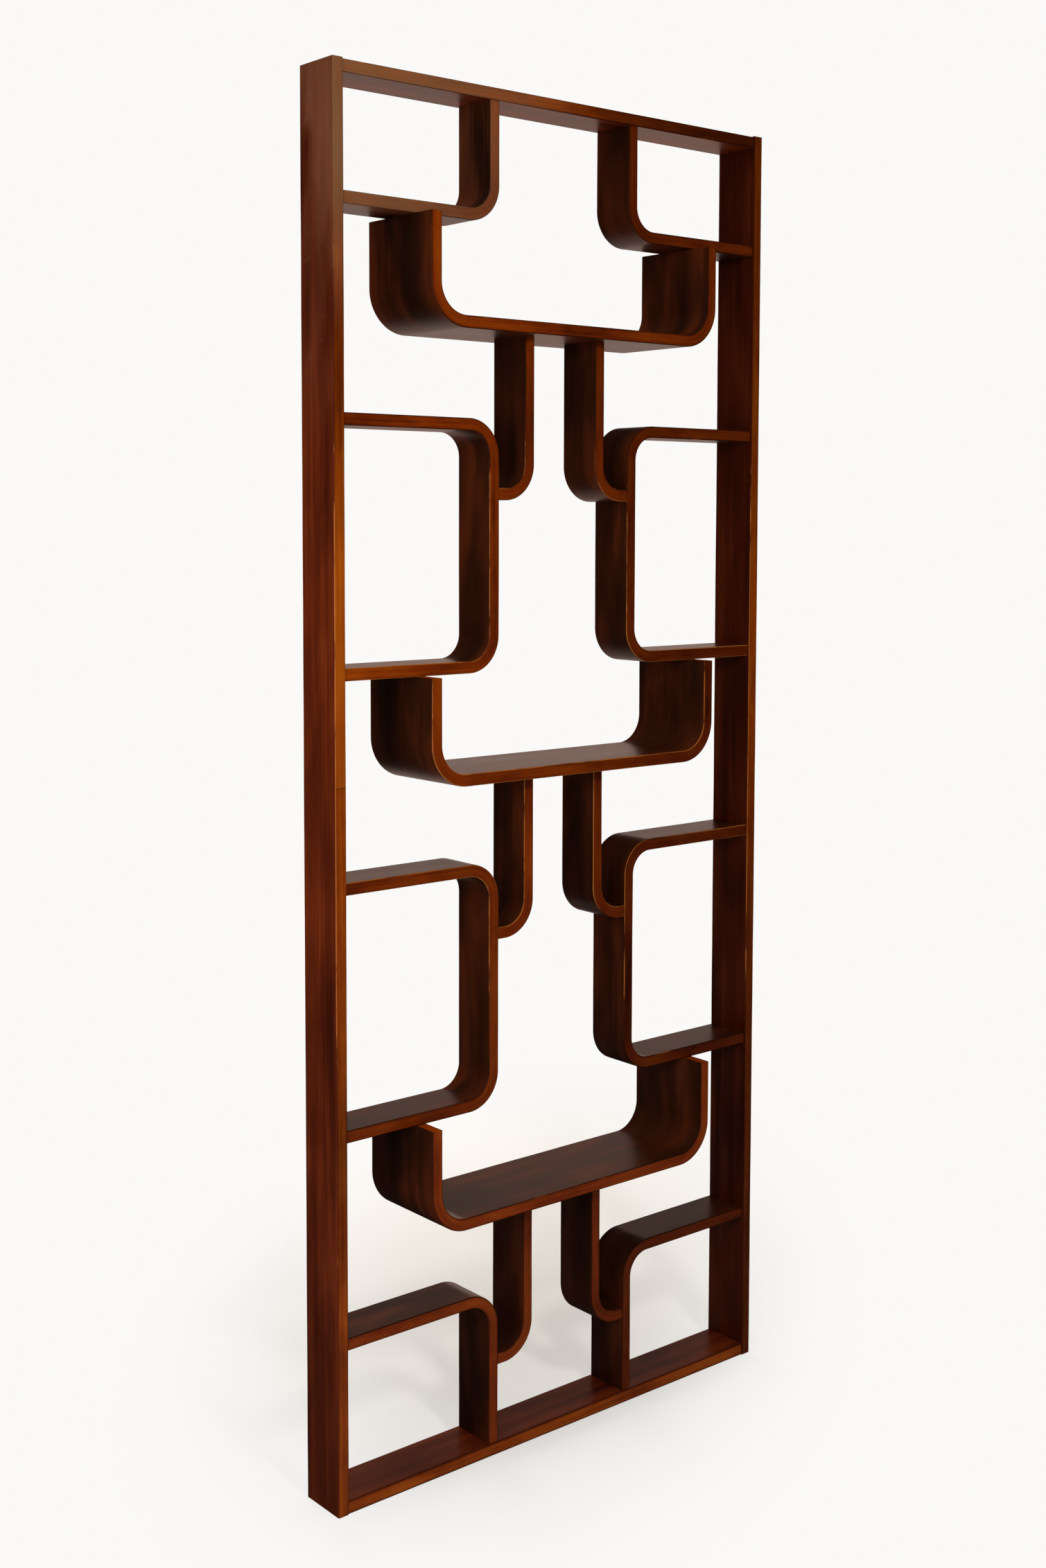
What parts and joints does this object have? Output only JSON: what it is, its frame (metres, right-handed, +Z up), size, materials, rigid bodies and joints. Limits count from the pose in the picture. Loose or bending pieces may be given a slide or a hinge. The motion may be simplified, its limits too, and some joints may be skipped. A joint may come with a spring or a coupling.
{
  "type": "room divider",
  "caption": "Tall open room divider of bent laminated wood: a straight frame holding U-shaped trays, C-shaped brackets and J-shaped hooks.",
  "frame": {"origin": "on the floor, in the middle of the width and of the depth", "axes": "+X to the viewer's right along the divider's width, +Y to the back through its depth, +Z up"},
  "size_m": [0.94, 0.167, 2.2615],
  "materials": {
    "frame_veneer": "satin lacquer over red-brown mahogany-type veneer, straight grain, paler worn edges",
    "bent_veneer": "satin lacquer over dark red-brown bent plywood, plies showing on the edges",
    "tray_veneer": "satin lacquer over dark red-brown bent plywood, grain along the tray",
    "tenon_beech": "plain unfinished beech"
  },
  "bodies": {
    "root": {"stile_left": "frame_veneer", "angle_bottom_left": "bent_veneer", "stile_right": "frame_veneer", "angle_bottom_right": "bent_veneer", "rail_bottom": "frame_veneer", "rail_top": "frame_veneer", "tray_lower": "tray_veneer", "hook_lower_left": "bent_veneer", "bracket_lower_left": "bent_veneer", "hook_lower_right": "bent_veneer", "bracket_lower_right": "bent_veneer", "tray_middle": "tray_veneer", "hook_middle_left": "bent_veneer", "bracket_middle_left": "bent_veneer", "hook_middle_right": "bent_veneer", "bracket_middle_right": "bent_veneer", "tray_upper": "tray_veneer", "hook_upper_left": "bent_veneer", "angle_top_left": "bent_veneer", "hook_upper_right": "bent_veneer", "angle_top_right": "bent_veneer", "tenon_tray_lower_arm_left": "tenon_beech", "tenon_hook_lower_left_head": "tenon_beech", "tenon_hook_lower_left_toe": "tenon_beech", "tenon_bracket_lower_left_plate": "tenon_beech", "tenon_bracket_lower_left_top_plate": "tenon_beech", "tenon_tray_lower_arm_right": "tenon_beech", "tenon_hook_lower_right_head": "tenon_beech", "tenon_hook_lower_right_toe": "tenon_beech", "tenon_bracket_lower_right_plate": "tenon_beech", "tenon_bracket_lower_right_top_plate": "tenon_beech", "tenon_tray_middle_arm_left": "tenon_beech", "tenon_hook_middle_left_head": "tenon_beech", "tenon_hook_middle_left_toe": "tenon_beech", "tenon_bracket_middle_left_plate": "tenon_beech", "tenon_bracket_middle_left_top_plate": "tenon_beech", "tenon_tray_middle_arm_right": "tenon_beech", "tenon_hook_middle_right_head": "tenon_beech", "tenon_hook_middle_right_toe": "tenon_beech", "tenon_bracket_middle_right_plate": "tenon_beech", "tenon_bracket_middle_right_top_plate": "tenon_beech", "tenon_tray_upper_arm_left": "tenon_beech", "tenon_hook_upper_left_head": "tenon_beech", "tenon_hook_upper_left_toe": "tenon_beech", "tenon_angle_top_left_plate": "tenon_beech", "tenon_tray_upper_arm_right": "tenon_beech", "tenon_hook_upper_right_head": "tenon_beech", "tenon_hook_upper_right_toe": "tenon_beech", "tenon_angle_top_right_plate": "tenon_beech", "tenon_rail_bottom_left": "tenon_beech", "tenon_rail_top_left": "tenon_beech", "tenon_angle_bottom_left_leg": "tenon_beech", "tenon_angle_bottom_left_plate": "tenon_beech", "tenon_angle_top_left_leg": "tenon_beech", "tenon_rail_bottom_right": "tenon_beech", "tenon_rail_top_right": "tenon_beech", "tenon_angle_bottom_right_leg": "tenon_beech", "tenon_angle_bottom_right_plate": "tenon_beech", "tenon_angle_top_right_leg": "tenon_beech"}
  },
  "joints": []
}
